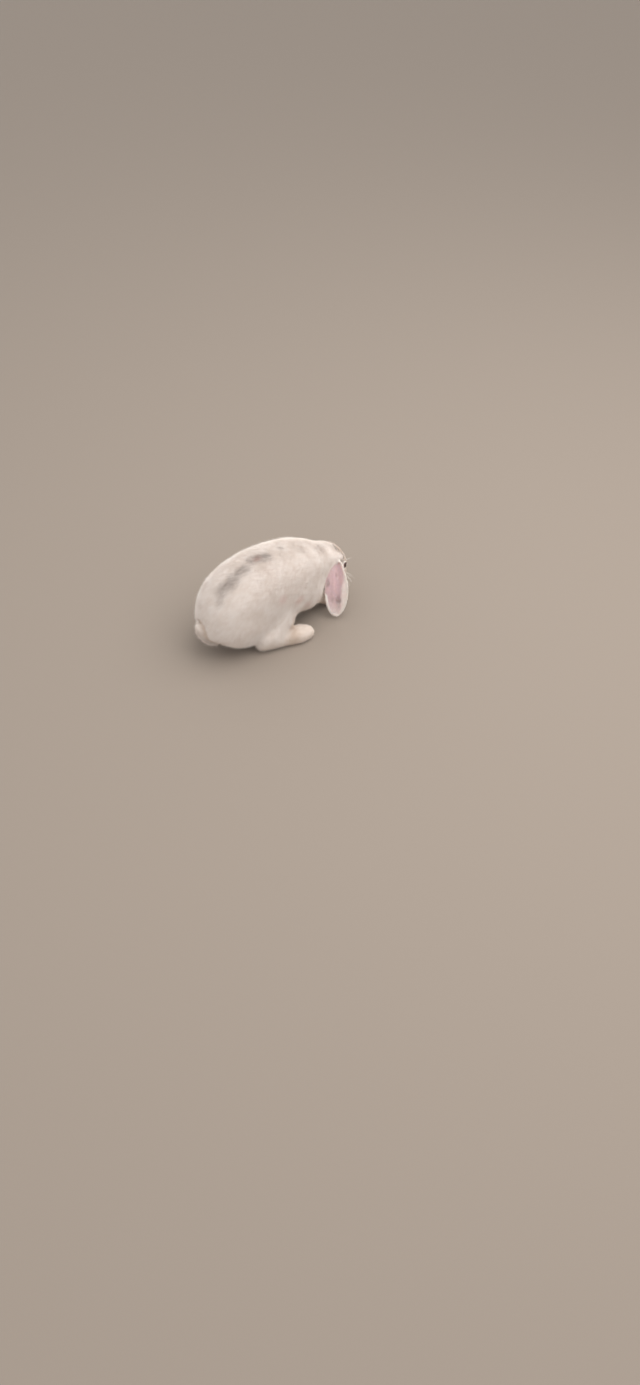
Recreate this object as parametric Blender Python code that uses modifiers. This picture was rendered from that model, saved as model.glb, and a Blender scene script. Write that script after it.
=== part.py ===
"""A life-size model of a lop rabbit, crouching with its head lowered to the floor.

Metres, +Z up. The rabbit faces -Y and its left side is +X. The origin is on the floor,
under the middle of the whole model. Sizes are those of the coat's outer surface.
The flesh is made as one smooth body from simple masses, and then parted with thin cuts.
"""

import math

import bmesh
import bpy
from mathutils import Matrix, Vector

CM = 0.01
GAP = 0.0005  # clear space between two parts, in metres
SIDES = {"left": 1, "right": -1}

# All the measures below are in centimetres, and places are given as forward of the tail's
# root, to the rabbit's left, and up from the floor.

# Stations along the trunk: forward, height of the back, height of the underside, half width.
TRUNK_STATIONS = (
    (-1.0, 8.6, 4.6, 2.6),
    (0.6, 12.0, 3.2, 4.5),
    (3.4, 14.8, 2.0, 5.9),
    (7.0, 16.3, 1.6, 6.5),
    (11.0, 17.1, 1.5, 6.5),
    (15.5, 17.1, 1.6, 6.2),
    (19.5, 16.4, 2.4, 5.7),
    (23.0, 15.0, 4.2, 4.8),
    (25.8, 12.9, 5.6, 3.8),
)
SECTION_SIDES = 24
SECTION_SQUARENESS = 0.86  # 1 is an ellipse, and less is fuller at its shoulders
SHOULDER = ((19.8, 3.5, 7.2), (3.7, 2.4, 4.6))  # centre, and radii forward, sideways and up
HAUNCH = ((7.0, 3.5, 7.2), (6.9, 3.1, 5.9))
KNEE = ((12.7, 4.6, 4.3), (3.3, 2.3, 3.0))
NECK = ((25.0, 0.2, 9.4), (3.8, 3.6, 3.8))

# The head turns to the rabbit's left and its nose points down.
HEAD_CENTRE = (28.0, 0.0, 8.2)  # midway between the eyes
HEAD_TURN = math.radians(14)
HEAD_PITCH = math.radians(52)
# Masses of the head, in its own directions from its centre: forward, left and up, then radii.
HEAD_MIDDLE = (
    ((-1.7, 0.0, 0.0), (3.2, 3.1, 2.8)),  # braincase
    ((0.8, 0.0, 0.15), (3.0, 2.6, 2.35)),  # brow and upper face
    ((2.6, 0.0, -0.2), (2.4, 2.0, 1.85)),  # bridge of the nose
    ((3.9, 0.0, -0.5), (1.35, 1.5, 1.35)),  # muzzle
    ((4.9, 0.0, -0.2), (0.55, 0.6, 0.5)),  # tip of the nose
    ((2.0, 0.0, -1.9), (2.5, 1.5, 1.2)),  # lower jaw
    ((3.7, 0.0, -2.0), (0.9, 0.9, 0.65)),  # chin
)
HEAD_SIDE = (
    ((0.3, 2.2, -1.4), (2.7, 1.8, 2.1)),  # cheek
    ((3.9, 0.9, -1.0), (1.3, 1.15, 1.0)),  # whisker pad
    ((0.4, 1.9, 0.9), (1.7, 0.9, 0.8)),  # brow over the eye
    ((0.7, 2.3, -0.9), (1.4, 0.8, 0.7)),  # cheekbone under the eye
    ((-1.7, 2.3, 0.8), (1.6, 1.2, 1.4)),  # root of the ear
)

EYE_RADIUS = 0.86
EYE_PLACE = (0.5, 2.4, 0.1)  # in the head's own directions

# Each ear leaves the head as a rolled tube, bends over and hangs to its tip, with its hollow
# side facing outwards.
EAR_ROOT = {"left": (26.8, 2.0, 9.8), "right": (27.3, -2.2, 10.4)}
EAR_BEND = {"left": (26.2, 5.6, 8.0), "right": (25.6, -5.5, 8.1)}
EAR_TIP = {"left": (25.4, 7.4, 0.9), "right": (24.1, -6.8, 0.7)}
EAR_FACING = {"left": (-0.35, 0.85, 0.40), "right": (-0.62, -0.64, 0.45)}
EAR_WIDTH = 4.3
EAR_WIDEST = 0.6  # share of the length at which the ear is widest
EAR_STALK = 0.40  # width at the root, as a share of the greatest
EAR_CURL = (2.2, 0.35)  # how far each edge curls round at the root and at the tip, in radians
EAR_THICKNESS = 0.42
EAR_ROOM = 0.0008  # clear space round the ears' roots, in metres
EAR_ROWS, EAR_COLUMNS = 14, 8

# Limbs and tail: places along them, with the radius at each.
TAIL = (
    ((1.0, -1.2, 3.3), 1.0),
    ((0.0, -0.5, 4.3), 1.3),
    ((-0.9, 0.2, 5.9), 1.25),
    ((-1.1, 0.5, 6.8), 0.9),
)
HIND_FOOT = (
    ((8.6, 5.0, 1.5), 1.5),  # heel
    ((12.0, 5.9, 1.35), 1.5),
    ((15.4, 6.9, 1.2), 1.85),  # ball of the toes
    ((17.0, 7.3, 1.1), 1.4),
)
FORELEG = (
    ((20.6, 3.0, 6.0), 2.1),  # elbow
    ((24.2, 2.5, 2.3), 1.2),
    ((25.6, 2.5, 1.2), 1.2),  # wrist
    ((27.4, 2.5, 0.9), 1.25),
)

# Planes that part the body: a place on each, and the direction that it faces.
SHOULDER_CUT = ((23.6, 0.0, 9.5), (0.99, 0.0, 0.12))
NAPE_CUT = ((26.1, 0.0, 9.5), (0.97, 0.2, -0.14))
WRIST_CUT = ((25.2, 0.0, 1.6), (0.9, 0.0, -0.44))
THIGH = ((7.8, 5.9, 5.8), (7.2, 3.4, 5.6))  # the ball that parts each thigh from the trunk
BLOCK = 60.0  # side of the blocks that cut along a plane

# How each smooth skin is made: cell size in metres, smoothing passes, share of faces kept.
BODY_SKIN = (0.0035, 18, 0.047)
HEAD_SKIN = (0.0022, 26, 0.042)
LIMB_SKIN = (0.003, 8, 0.09)

COAT_COLOUR = (0.87, 0.84, 0.80, 1.0)
EAR_COLOUR = (0.80, 0.68, 0.68, 1.0)
EYE_COLOUR = (0.03, 0.02, 0.02, 1.0)


def place(forward, left, up):
    """A point in metres from a place in centimetres."""
    return Vector((left, -forward, up)) * CM


def sizes(forward, sideways, up):
    """Radii in metres along X, Y and Z from radii in centimetres."""
    return Vector((sideways, forward, up)) * CM


def clear_scene():
    for thing in list(bpy.data.objects):
        bpy.data.objects.remove(thing)


def collection(name):
    made = bpy.data.collections.new(name)
    bpy.context.scene.collection.children.link(made)
    return made


def material(name, colour, roughness):
    made = bpy.data.materials.new(name)
    made.use_nodes = True
    shader = made.node_tree.nodes["Principled BSDF"]
    shader.inputs["Base Color"].default_value = colour
    shader.inputs["Roughness"].default_value = roughness
    shader.inputs["Metallic"].default_value = 0.0
    return made


def ellipsoid(form, centre, radii, turn=None, rounds=24):
    """Adds an ellipsoid to a bmesh. Turn is a rotation matrix for its own axes."""
    matrix = Matrix.Translation(centre)
    if turn is not None:
        matrix = matrix @ turn.to_4x4()
    matrix = matrix @ Matrix.Diagonal((*radii, 1.0))
    bmesh.ops.create_uvsphere(form, u_segments=rounds, v_segments=rounds // 2, radius=1.0, matrix=matrix)


def limb(form, points, side=1, steps=6, flat=1.0):
    """Adds a limb through places with radii, as a close row of balls. Flat squeezes their height."""
    for (start, wide), (end, narrow) in zip(points, points[1:]):
        for step in range(steps):
            share = step / (steps - 1)
            centre = Vector(start).lerp(Vector(end), share)
            radius = (wide + (narrow - wide) * share) * CM
            spot = place(centre.x, centre.y * side, centre.z)
            ellipsoid(form, spot, (radius, radius, radius * flat), rounds=16)


def object_from(form, name, home):
    mesh = bpy.data.meshes.new(name)
    bmesh.ops.recalc_face_normals(form, faces=form.faces)
    form.to_mesh(mesh)
    form.free()
    made = bpy.data.objects.new(name, mesh)
    home.objects.link(made)
    return made


def melt(thing, skin):
    """Runs the masses of an object together into one smooth closed skin with fewer faces."""
    merge = thing.modifiers.new("merge", "REMESH")
    merge.mode = "VOXEL"
    merge.adaptivity = 0.0
    smooth = thing.modifiers.new("smooth", "SMOOTH")
    smooth.factor = 0.5
    fewer = thing.modifiers.new("fewer", "DECIMATE")
    fewer.use_collapse_triangulate = True
    merge.voxel_size, smooth.iterations, fewer.ratio = skin
    return thing


def frozen(thing, name, home, grown=0.0):
    """A new object holding another's finished mesh, grown along its normals if asked."""
    graph = bpy.context.evaluated_depsgraph_get()
    mesh = bpy.data.meshes.new_from_object(thing.evaluated_get(graph))
    mesh.name = name
    made = bpy.data.objects.new(name, mesh)
    home.objects.link(made)
    if grown:
        offset = [vertex.normal * grown for vertex in mesh.vertices]
        for vertex, step in zip(mesh.vertices, offset):
            vertex.co += step
    return made


def cut(thing, cutter, operation="DIFFERENCE"):
    modifier = thing.modifiers.new(cutter.name, "BOOLEAN")
    modifier.operation = operation
    modifier.solver = "EXACT"
    modifier.object = cutter


def blunted(value):
    """A sine or cosine bent so that an ellipse through it is fuller at its shoulders."""
    return math.copysign(abs(value) ** SECTION_SQUARENESS, value)


def trunk_masses(form):
    """The trunk: a loft through rings, with the shoulders, haunches and knees on its sides."""
    rings = []
    for forward, top, bottom, half_width in TRUNK_STATIONS:
        middle, half_height = (top + bottom) / 2, (top - bottom) / 2
        ring = []
        for step in range(SECTION_SIDES):
            angle = 2 * math.pi * step / SECTION_SIDES
            side = half_width * blunted(math.sin(angle))
            rise = half_height * blunted(math.cos(angle))
            ring.append(form.verts.new(place(forward, side, middle + rise)))
        rings.append(ring)
    for back, front in zip(rings, rings[1:]):
        for step in range(SECTION_SIDES):
            after = (step + 1) % SECTION_SIDES
            form.faces.new((back[step], front[step], front[after], back[after]))
    form.faces.new(rings[0])
    form.faces.new(reversed(rings[-1]))
    for (forward, left, up), radii in (SHOULDER, HAUNCH, KNEE):
        for side in SIDES.values():
            ellipsoid(form, place(forward, left * side, up), sizes(*radii))
    ellipsoid(form, place(*NECK[0]), sizes(*NECK[1]))


def head_matrix():
    """The head's own directions: forward to the nose, left, and up through the crown."""
    flat = Vector((math.sin(HEAD_TURN), -math.cos(HEAD_TURN), 0.0))
    up = Vector((0.0, 0.0, 1.0))
    nose = flat * math.cos(HEAD_PITCH) - up * math.sin(HEAD_PITCH)
    crown = flat * math.sin(HEAD_PITCH) + up * math.cos(HEAD_PITCH)
    left = crown.cross(nose)
    return Matrix((nose, left, crown)).transposed()


def in_head(forward, left, up):
    """A point in metres from a place in centimetres in the head's own directions."""
    return place(*HEAD_CENTRE) + head_matrix() @ (Vector((forward, left, up)) * CM)


def head_masses(form):
    masses = list(HEAD_MIDDLE)
    for side in SIDES.values():
        masses += [((forward, left * side, up), radii) for (forward, left, up), radii in HEAD_SIDE]
    for centre, radii in masses:
        ellipsoid(form, in_head(*centre), Vector(radii) * CM, head_matrix())


def ear_outline(share):
    """The ear's width at a share of its length, as a share of its greatest width."""
    if share < EAR_WIDEST:
        rise = share / EAR_WIDEST
        return EAR_STALK + (1 - EAR_STALK) * rise ** 2 * (3 - 2 * rise)
    return max(1 - ((share - EAR_WIDEST) / (1 - EAR_WIDEST)) ** 2, 0) ** 0.5


def ear_form(name):
    """One ear: a leaf along a bent line, rolled at the root and widest past the middle."""
    root, bend, tip = place(*EAR_ROOT[name]), place(*EAR_BEND[name]), place(*EAR_TIP[name])
    form = bmesh.new()
    rows = []
    for row in range(EAR_ROWS + 1):
        share = 1 - (1 - row / EAR_ROWS) ** 1.6  # the rows crowd towards the rounded tip
        before, after = root.lerp(bend, share), bend.lerp(tip, share)
        middle, along = before.lerp(after, share), (after - before).normalized()
        facing = place(*EAR_FACING[name])
        facing = (facing - along * facing.dot(along)).normalized()
        across = along.cross(facing)
        curl = EAR_CURL[1] + (EAR_CURL[0] - EAR_CURL[1]) * (1 - share) ** 2
        reach = EAR_WIDTH / 2 * CM * ear_outline(share) / math.sin(min(curl, math.pi / 2))
        line = []
        for column in range(EAR_COLUMNS + 1):
            angle = curl * (2 * column / EAR_COLUMNS - 1)
            spot = middle + (across * math.sin(angle) + facing * (1 - math.cos(angle))) * reach
            line.append(form.verts.new(spot))
        rows.append(line)
    for upper, lower in zip(rows, rows[1:]):
        for column in range(EAR_COLUMNS):
            form.faces.new((upper[column], upper[column + 1], lower[column + 1], lower[column]))
    bmesh.ops.remove_doubles(form, verts=form.verts, dist=0.0001)
    return form


def block_before(name, cut_plane, home, step):
    """A big block whose back lies on a plane, moved a step along the way that it faces."""
    spot, facing = place(*cut_plane[0]), place(*cut_plane[1]).normalized()
    centre = spot + facing * (BLOCK / 2 * CM + step)
    turn = facing.to_track_quat("X", "Z").to_matrix().to_4x4()
    form = bmesh.new()
    bmesh.ops.create_cube(form, size=BLOCK * CM, matrix=Matrix.Translation(centre) @ turn)
    return object_from(form, name, home)


def opposite(cut_plane):
    spot, facing = cut_plane
    return spot, tuple(-part for part in facing)


def parted_body(rabbit, workshop):
    """Head, neck, trunk and thighs: one body, parted by two planes and by a ball on each side."""
    form = bmesh.new()
    trunk_masses(form)
    head_masses(form)
    whole = melt(object_from(form, "whole", workshop), BODY_SKIN)
    parts = {name: frozen(whole, name, rabbit) for name in ("neck", "trunk", "thigh_left", "thigh_right")}
    whole.modifiers.clear()
    parts["head"] = frozen(melt(whole, HEAD_SKIN), "head", rabbit)

    half = GAP / 2
    cut(parts["head"], block_before("nape_front", NAPE_CUT, workshop, half), "INTERSECT")
    cut(parts["neck"], block_before("nape_back", opposite(NAPE_CUT), workshop, half), "INTERSECT")
    cut(parts["neck"], block_before("shoulder_front", SHOULDER_CUT, workshop, half), "INTERSECT")
    cut(parts["trunk"], block_before("shoulder_back", opposite(SHOULDER_CUT), workshop, half), "INTERSECT")
    (forward, left, up), radii = THIGH
    for name, side in SIDES.items():
        for part, grown, operation in (("thigh_" + name, 0.0, "INTERSECT"), ("trunk", GAP, "DIFFERENCE")):
            form = bmesh.new()
            ellipsoid(form, place(forward, left * side, up), sizes(*radii) + Vector((grown,) * 3))
            cut(parts[part], object_from(form, part + "_ball_" + name, workshop), operation)
    return parts


def limb_masses(points, name, workshop, side=1):
    form = bmesh.new()
    limb(form, points, side)
    return melt(object_from(form, name, workshop), LIMB_SKIN)


def add_limbs(parts, rabbit, workshop):
    """Hind feet, forelegs, forepaws and tail, each with room cut for it in the body."""
    floor = block_before("above_floor", ((0, 0, 0), (0, 0, 1)), workshop, 0.0)
    wrist_front = block_before("wrist_front", WRIST_CUT, workshop, GAP / 2)
    wrist_back = block_before("wrist_back", opposite(WRIST_CUT), workshop, GAP / 2)
    for name, side in SIDES.items():
        foot = limb_masses(HIND_FOOT, "foot_masses_" + name, workshop, side)
        parts["hind_foot_" + name] = frozen(foot, "hind_foot_" + name, rabbit)
        cut(parts["hind_foot_" + name], floor, "INTERSECT")
        room = frozen(foot, "foot_room_" + name, workshop, GAP)
        cut(parts["trunk"], room)
        cut(parts["thigh_" + name], room)

        leg = limb_masses(FORELEG, "leg_masses_" + name, workshop, side)
        parts["foreleg_" + name] = frozen(leg, "foreleg_" + name, rabbit)
        parts["forepaw_" + name] = frozen(leg, "forepaw_" + name, rabbit)
        cut(parts["foreleg_" + name], wrist_back, "INTERSECT")
        cut(parts["forepaw_" + name], wrist_front, "INTERSECT")
        cut(parts["forepaw_" + name], floor, "INTERSECT")
        room = frozen(leg, "leg_room_" + name, workshop, GAP)
        cut(parts["trunk"], room)
        cut(parts["neck"], room)
    tail = limb_masses(TAIL, "tail_masses", workshop)
    parts["tail"] = frozen(tail, "tail", rabbit)
    cut(parts["trunk"], frozen(tail, "tail_room", workshop, GAP))


def add_ears_and_eyes(parts, rabbit, workshop):
    """Ears and eyes, each with room cut for it in the head."""
    forward, left, up = EYE_PLACE
    for name, side in SIDES.items():
        ear = object_from(ear_form(name), "ear_" + name, rabbit)
        thick = ear.modifiers.new("thickness", "SOLIDIFY")
        thick.thickness = EAR_THICKNESS * CM
        thick.offset = 0
        parts["ear_" + name] = ear
        room = frozen(ear, "ear_room_" + name, workshop, EAR_ROOM)
        for part in ("head", "neck", "trunk"):
            cut(parts[part], room)

        balls = {}
        for ball, grown, home in (("eye_" + name, 0.0, rabbit), ("socket_" + name, GAP, workshop)):
            form = bmesh.new()
            radius = EYE_RADIUS * CM + grown
            ellipsoid(form, in_head(forward, left * side, up), (radius,) * 3, head_matrix(), 16)
            balls[ball] = object_from(form, ball, home)
        cut(parts["head"], balls["socket_" + name])
        parts["eye_" + name] = balls["eye_" + name]


def finish(parts):
    """Gives each part its material."""
    coat = material("white coat", COAT_COLOUR, 0.9)
    ear_skin = material("bare ear skin", EAR_COLOUR, 0.8)
    eye_surface = material("dark eye", EYE_COLOUR, 0.15)
    for name, part in parts.items():
        kind = name.split("_")[0]
        part.data.materials.clear()
        part.data.materials.append({"eye": eye_surface, "ear": ear_skin}.get(kind, coat))


def centre_on_floor(parts):
    """Moves everything so that the origin is on the floor under the middle of the model."""
    graph = bpy.context.evaluated_depsgraph_get()
    corners = []
    for part in parts.values():
        corners += [Vector(corner) for corner in part.evaluated_get(graph).bound_box]
    middle = [(min(c[axis] for c in corners) + max(c[axis] for c in corners)) / 2 for axis in (0, 1)]
    for thing in bpy.data.objects:
        thing.location -= Vector((*middle, 0.0))


def main():
    clear_scene()
    rabbit = collection("lop_rabbit")
    workshop = collection("workshop")
    workshop.hide_render = True
    parts = parted_body(rabbit, workshop)
    add_limbs(parts, rabbit, workshop)
    add_ears_and_eyes(parts, rabbit, workshop)
    for thing in workshop.objects:
        thing.hide_render = True
        thing.display_type = "WIRE"
    finish(parts)
    tail_root = bpy.data.objects.new("tail_root", None)  # marks the start of the forward measures
    rabbit.objects.link(tail_root)
    centre_on_floor(parts)


main()
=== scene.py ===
import math

import bmesh
import bpy
import numpy as np
from mathutils import Euler, Matrix, Vector, noise
from mathutils.bvhtree import BVHTree
from mathutils.kdtree import KDTree


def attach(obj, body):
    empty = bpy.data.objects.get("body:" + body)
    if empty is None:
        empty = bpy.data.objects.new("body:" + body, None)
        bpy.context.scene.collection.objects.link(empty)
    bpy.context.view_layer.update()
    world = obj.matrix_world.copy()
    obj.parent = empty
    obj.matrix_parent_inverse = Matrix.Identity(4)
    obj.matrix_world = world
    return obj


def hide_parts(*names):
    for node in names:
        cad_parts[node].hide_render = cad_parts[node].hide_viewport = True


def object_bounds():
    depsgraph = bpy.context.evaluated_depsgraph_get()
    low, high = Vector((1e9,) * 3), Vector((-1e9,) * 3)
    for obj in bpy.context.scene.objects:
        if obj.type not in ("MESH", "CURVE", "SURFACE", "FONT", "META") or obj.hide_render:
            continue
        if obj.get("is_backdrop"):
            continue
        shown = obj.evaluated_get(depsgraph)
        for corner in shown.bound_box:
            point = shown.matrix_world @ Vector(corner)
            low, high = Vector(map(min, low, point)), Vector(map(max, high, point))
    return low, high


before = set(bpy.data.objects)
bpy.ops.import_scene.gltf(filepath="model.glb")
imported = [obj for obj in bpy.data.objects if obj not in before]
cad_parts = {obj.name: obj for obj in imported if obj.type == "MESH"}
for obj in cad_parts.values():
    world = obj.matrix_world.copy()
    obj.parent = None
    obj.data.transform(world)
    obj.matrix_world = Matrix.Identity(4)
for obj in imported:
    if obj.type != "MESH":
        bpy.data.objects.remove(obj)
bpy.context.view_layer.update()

# ---------------------------------------------------------------- Studio
# A plain matt floor, one large soft lamp high up ahead of the rabbit and on its right, an
# evenly lit room, and a person's view down at it from behind its right side.
scene = bpy.context.scene
scene.view_settings.view_transform = "Standard"


def linear(code):
    """An sRGB hex colour as linear light, with an alpha of one."""
    parts = [int(code[start : start + 2], 16) / 255 for start in (1, 3, 5)]
    return [p / 12.92 if p <= 0.04045 else ((p + 0.055) / 1.055) ** 2.4 for p in parts] + [1.0]


def add_node(tree, kind, settings=None, inputs=None):
    """A node with its settings, and each input set to a value or joined to another's output."""
    node = tree.nodes.new(kind)
    for name, value in (settings or {}).items():
        setattr(node, name, value)
    for name, value in (inputs or {}).items():
        if isinstance(value, bpy.types.NodeSocket):
            tree.links.new(value, node.inputs[name])
        else:
            node.inputs[name].default_value = value
    return node


def new_finish(name):
    """An empty material and its tree."""
    finish = bpy.data.materials.new(name)
    finish.use_nodes = True
    finish.node_tree.nodes.clear()
    return finish, finish.node_tree


FLOOR_COLOUR = "#90857b"
FLOOR_HALF, FLOOR_DROP = 6.0, 0.0002  # the floor's face is a hair below the soles
LAMP_PLACE, LAMP_SIZE, LAMP_WATTS = (-0.55, -0.65, 2.0), 2.2, 37.0
LAMP_COLOUR, ROOM_COLOUR, ROOM_LIGHT = (1.0, 0.97, 0.93), (1.0, 0.985, 0.97, 1.0), 1.0
CAMERA_PLACE = (-1.1026, 0.7520, 1.27)
CAMERA_TURN = (42.077, -0.571, -127.478)  # degrees
CAMERA_LENS, CAMERA_SENSOR, NEAREST_SEEN = 25.07, 36.0, 0.01

# Matt painted board: one flat tone with no shine.
painted_board, tree = new_finish("painted_board")
paint = add_node(
    tree, "ShaderNodeBsdfPrincipled", inputs={"Base Color": linear(FLOOR_COLOUR), "Roughness": 0.9}
)
add_node(tree, "ShaderNodeOutputMaterial", inputs={"Surface": paint.outputs["BSDF"]})

floor_mesh = bpy.data.meshes.new("studio_floor")
floor_corners = [(x * FLOOR_HALF, y * FLOOR_HALF, 0) for x, y in ((-1, -1), (1, -1), (1, 1), (-1, 1))]
floor_mesh.from_pydata(floor_corners, [], [(0, 1, 2, 3)])
floor_mesh.materials.append(painted_board)
studio_floor = bpy.data.objects.new("studio_floor", floor_mesh)
studio_floor.location.z = -FLOOR_DROP
scene.collection.objects.link(studio_floor)
studio_floor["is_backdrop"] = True

lamp_data = bpy.data.lights.new("soft_lamp", "AREA")
lamp_data.size = LAMP_SIZE
lamp_data.energy = LAMP_WATTS
lamp_data.color = LAMP_COLOUR
lamp = bpy.data.objects.new("soft_lamp", lamp_data)
lamp.location = LAMP_PLACE
lamp.rotation_euler = (-Vector(LAMP_PLACE)).to_track_quat("-Z", "Y").to_euler()
scene.collection.objects.link(lamp)

room = bpy.data.worlds.new("room")
room.use_nodes = True
room.node_tree.nodes["Background"].inputs["Color"].default_value = ROOM_COLOUR
room.node_tree.nodes["Background"].inputs["Strength"].default_value = ROOM_LIGHT
scene.world = room

camera_data = bpy.data.cameras.new("camera")
camera_data.sensor_width = CAMERA_SENSOR
camera_data.lens = CAMERA_LENS
camera_data.clip_start = NEAREST_SEEN
camera = bpy.data.objects.new("camera", camera_data)
camera.location = CAMERA_PLACE
camera.rotation_euler = Euler([math.radians(angle) for angle in CAMERA_TURN])
scene.collection.objects.link(camera)
scene.camera = camera

# ---------------------------------------------------------------- Skin
# One hide over the whole body, grown over flesh and gristle: ears, eyelids, nostrils, lips
# and toes are folds of it. It lies inside the coat's tips by the coat's depth, which is
# greatest over the trunk and least on the face and feet.
SIDES = {"left": 1, "right": -1}
MM, CM = 0.001, 0.01
# The coat's depth over each part in millimetres. On the head it thins towards the nose.
COAT_DEPTH = {
    "trunk": 4.6,
    "neck": 4.2,
    "thigh": 4.5,
    "tail": 3.6,
    "head": 3.4,
    "foreleg": 3.6,
    "hind_foot": 2.4,
    "forepaw": 2.0,
}
NOSE_THINNING = 1.7
COARSE_CELL, FINE_CELL = 2.0 * MM, 1.3 * MM
TAIL_ROOT, MIDLINE = 0.1466, 0.00006  # their y and x


def place(forward, left, up):
    """A point in metres from a place in centimetres: forward of the tail's root, left, up."""
    return Vector((left * CM + MIDLINE, TAIL_ROOT - forward * CM, up * CM))


HEAD_TURN, HEAD_PITCH = math.radians(14), math.radians(52)  # to the left, and down
head_flat = Vector((math.sin(HEAD_TURN), -math.cos(HEAD_TURN), 0.0))
nose_way = head_flat * math.cos(HEAD_PITCH) - Vector((0, 0, 1)) * math.sin(HEAD_PITCH)
crown_way = head_flat * math.sin(HEAD_PITCH) + Vector((0, 0, 1)) * math.cos(HEAD_PITCH)
head_turn = Matrix((nose_way, crown_way.cross(nose_way), crown_way)).transposed()
head_centre = place(28.0, 0.0, 8.2)


def in_head(forward, left, up):
    """A point in metres from a place in centimetres in the head's own directions."""
    return head_centre + head_turn @ (Vector((forward, left, up)) * CM)


def in_head_cm(points):
    """Points in metres as centimetres in the head's own directions."""
    return (points - np.array(head_centre)) @ np.array(head_turn) / CM


def part_of(name):
    """A node's name without its side."""
    return name.removesuffix("_left").removesuffix("_right")


flesh = [n for n in sorted(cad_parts) if part_of(n) not in ("eye", "ear")]
ears = ["ear_left", "ear_right"]


class Masses:
    """Closed forms gathered to be melted into one."""

    def __init__(self):
        self.points, self.faces = [], []

    def add(self, points, faces):
        start = len(self.points)
        self.points += [tuple(p) for p in points]
        self.faces += [[start + corner for corner in face] for face in faces]

    def mesh(self, name):
        mesh = bpy.data.meshes.new(name)
        mesh.from_pydata(self.points, [], self.faces)
        mesh.shade_smooth()
        return mesh

    def add_ball(self, centre, radii, turn=None):
        form = bmesh.new()
        bmesh.ops.create_icosphere(form, subdivisions=4, radius=1.0)
        turn = turn or Matrix.Identity(3)
        points = [centre + turn @ Vector(c * r for c, r in zip(v.co, radii)) for v in form.verts]
        self.add(points, [[v.index for v in face.verts] for face in form.faces])
        form.free()

    def add_tube(self, line, radii, closed=False, sides=8):
        """A round tube along a line of points, with a radius at each."""
        points, faces, count = [], [], len(line)
        for at, (spot, radius) in enumerate(zip(line, radii)):
            before = line[at - 1] if closed or at else line[0]
            after = line[(at + 1) % count] if closed or at < count - 1 else line[-1]
            along = (after - before).normalized()
            side = along.orthogonal().normalized()
            if points:
                side = (last - along * last.dot(along)).normalized()
            last, up = side, along.cross(side)
            for step in range(sides):
                angle = step * math.tau / sides
                points.append(spot + (side * math.cos(angle) + up * math.sin(angle)) * radius)
        for at in range(count if closed else count - 1):
            low, high = at * sides, (at + 1) % count * sides
            for step in range(sides):
                turn = (step + 1) % sides
                faces.append((low + step, low + turn, high + turn, high + step))
        if not closed:
            faces.append(tuple(reversed(range(sides))))
            faces.append(tuple(range((count - 1) * sides, count * sides)))
        self.add(points, faces)


def arrays_of(mesh, sides):
    """A mesh's points, its faces of this many sides, and its edges."""
    points = np.empty(len(mesh.vertices) * 3)
    mesh.vertices.foreach_get("co", points)
    corners = np.empty(len(mesh.loops), int)
    mesh.loops.foreach_get("vertex_index", corners)
    pairs = np.empty(len(mesh.edges) * 2, int)
    mesh.edges.foreach_get("vertices", pairs)
    return points.reshape(-1, 3), corners.reshape(-1, sides), pairs.reshape(-1, 2)


def melt(masses, cell):
    """One closed surface round all the masses: its points, four-sided faces and edges."""
    mesh = masses.mesh("masses")
    mesh.validate()
    piece = bpy.data.objects.new("masses", mesh)
    scene.collection.objects.link(piece)
    voxels = piece.modifiers.new("voxels", "REMESH")
    voxels.mode = "VOXEL"
    voxels.voxel_size = cell
    made = arrays_of(piece.evaluated_get(bpy.context.evaluated_depsgraph_get()).to_mesh(), 4)
    bpy.data.objects.remove(piece)
    return made


def relax(values, pairs, rounds, share=0.5):
    """Each value moved towards the mean of its neighbours', again and again."""
    size = len(values)
    ends = np.concatenate([pairs[:, 0], pairs[:, 1]])
    others = np.concatenate([pairs[:, 1], pairs[:, 0]])
    count = np.maximum(np.bincount(ends, minlength=size), 1)
    values = np.array(values, float)
    flat = values.reshape(size, -1)
    share = np.broadcast_to(share, size)
    for _ in range(rounds):
        for column in range(flat.shape[1]):
            mean = np.bincount(ends, flat[others, column], size) / count
            flat[:, column] += share * (mean - flat[:, column])
    return flat.reshape(values.shape)


def settle(points, pairs, rounds):
    """Smoothed points that keep their bulk: each step in is followed by a step out."""
    for _ in range(rounds):
        points = relax(relax(points, pairs, 1, 0.6), pairs, 1, -0.62)
    return points


def unit(vectors):
    """The vectors at a length of one."""
    return vectors / np.maximum(np.linalg.norm(vectors, axis=-1, keepdims=True), 1e-12)


def normals_of(points, faces):
    """The outward direction at each point, from the faces round it."""
    corners = [points[face_corner] for face_corner in faces.T]
    across = np.cross(corners[2] - corners[0], corners[3 % len(corners)] - corners[1])
    total = np.zeros_like(points)
    for face_corner in faces.T:
        for column in range(3):
            total[:, column] += np.bincount(face_corner, across[:, column], len(points))
    return unit(total)


def ramp(value, low, high):
    """0 up to low, 1 from high, and a soft slope between them."""
    share = np.clip((value - low) / (high - low), 0, 1)
    return share * share * (3 - 2 * share)


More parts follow.
